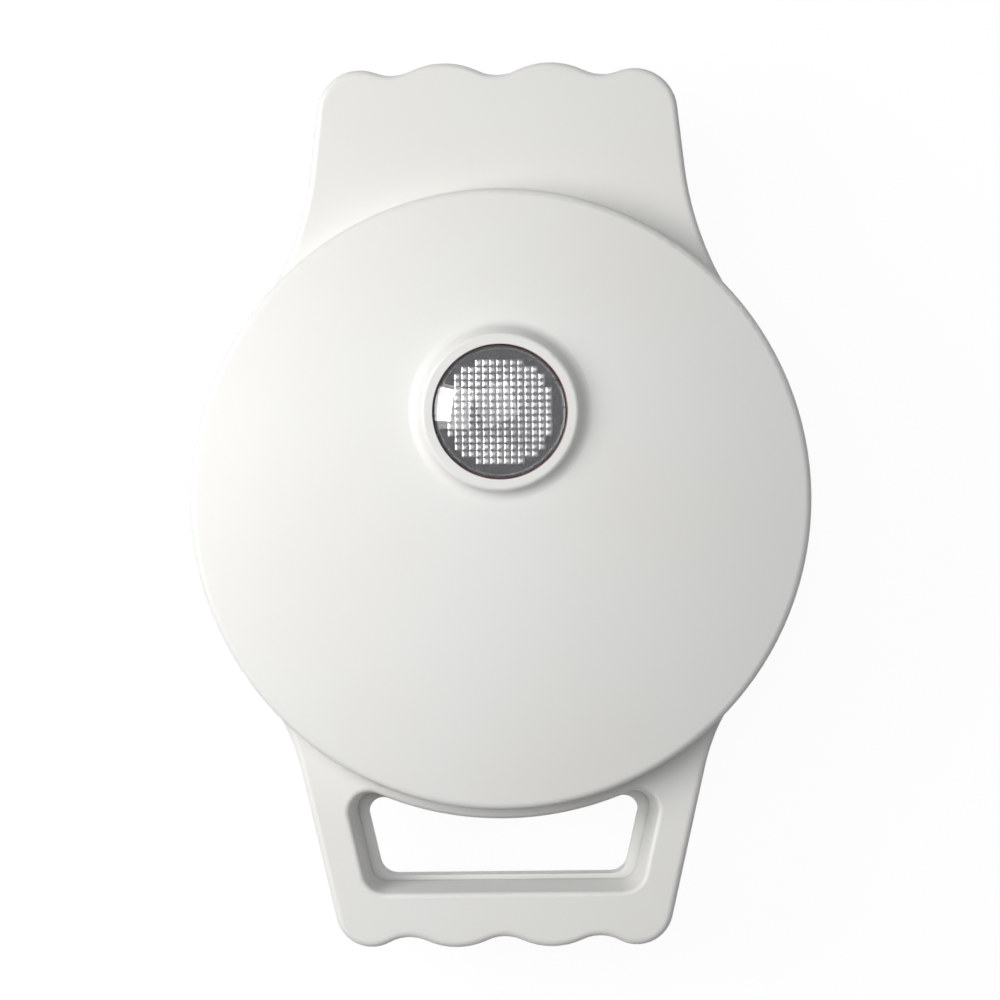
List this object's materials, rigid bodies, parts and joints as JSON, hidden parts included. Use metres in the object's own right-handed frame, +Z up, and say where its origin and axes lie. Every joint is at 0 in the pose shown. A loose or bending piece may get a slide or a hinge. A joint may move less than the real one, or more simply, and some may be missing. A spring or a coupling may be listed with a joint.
{
  "type": "mini donut maker",
  "caption": "Countertop mini donut maker: a hinged lid on a round base with ring-grooved hot plates, a scalloped handle with a finger window and a rear hinge lug.",
  "frame": {"origin": "on the table plane, under the middle of the closed object's bounding box", "axes": "+Z up, +Y to the rear hinge lug, -Y to the front handle, +X to the right seen from the front"},
  "size_m": [0.1768, 0.2547, 0.0909],
  "materials": {
    "white_shell": "satin moulded, fine grain",
    "inner_bezel": "satin moulded",
    "nonstick": "dark non-stick coating on pressed aluminium",
    "shield_sheet": "bright rolled sheet",
    "element_sheath": "oxidised sheath",
    "screw_steel": "zinc plated",
    "pin_steel": "ground",
    "foot_rubber": "matt",
    "clear_lens": "polished",
    "prism_disc": "metallised prisms",
    "seal_red": "satin",
    "lamp_glass": "clear",
    "holder_plastic": "matt",
    "thermostat_body": "moulded",
    "terminal_nylon": "natural nylon",
    "gland_plastic": "moulded",
    "lead_insulation": "matt",
    "fuse_body": "drawn"
  },
  "bodies": {
    "base": {"base_housing": "white_shell", "base_frame": "inner_bezel", "base_frame_screws": "screw_steel", "lower_plate": "nonstick", "lower_element": "element_sheath", "lower_shield": "shield_sheet", "lower_plate_screws": "screw_steel", "bottom_cover": "inner_bezel", "bottom_cover_screws": "screw_steel", "thermostat": "thermostat_body", "thermal_fuse": "fuse_body", "terminal_block": "terminal_nylon", "lower_lead": "lead_insulation", "cord_gland": "gland_plastic", "foot_front_left": "foot_rubber", "foot_front_right": "foot_rubber", "foot_rear_left": "foot_rubber", "foot_rear_right": "foot_rubber"},
    "lid": {"lid_housing": "white_shell", "lid_cover": "white_shell", "lid_cover_screws": "screw_steel", "lid_frame": "inner_bezel", "lid_frame_screws": "screw_steel", "lens": "clear_lens", "lens_seal": "seal_red", "lens_diffuser": "prism_disc", "lamp_holder": "holder_plastic", "neon_lamps": "lamp_glass", "upper_plate": "nonstick", "upper_element": "element_sheath", "upper_shield": "shield_sheet", "upper_plate_screws": "screw_steel", "upper_lead": "lead_insulation", "hinge_pin_left": "pin_steel", "hinge_pin_right": "pin_steel", "pin_cap_left": "white_shell", "pin_cap_right": "white_shell"}
  },
  "joints": [
    {"name": "lid_hinge", "type": "hinge", "parent": "base", "child": "lid", "pos_m": [0, 0.10965, 0.05], "axis": [-1, 0, 0], "range_deg": [0, 95]}
  ]
}
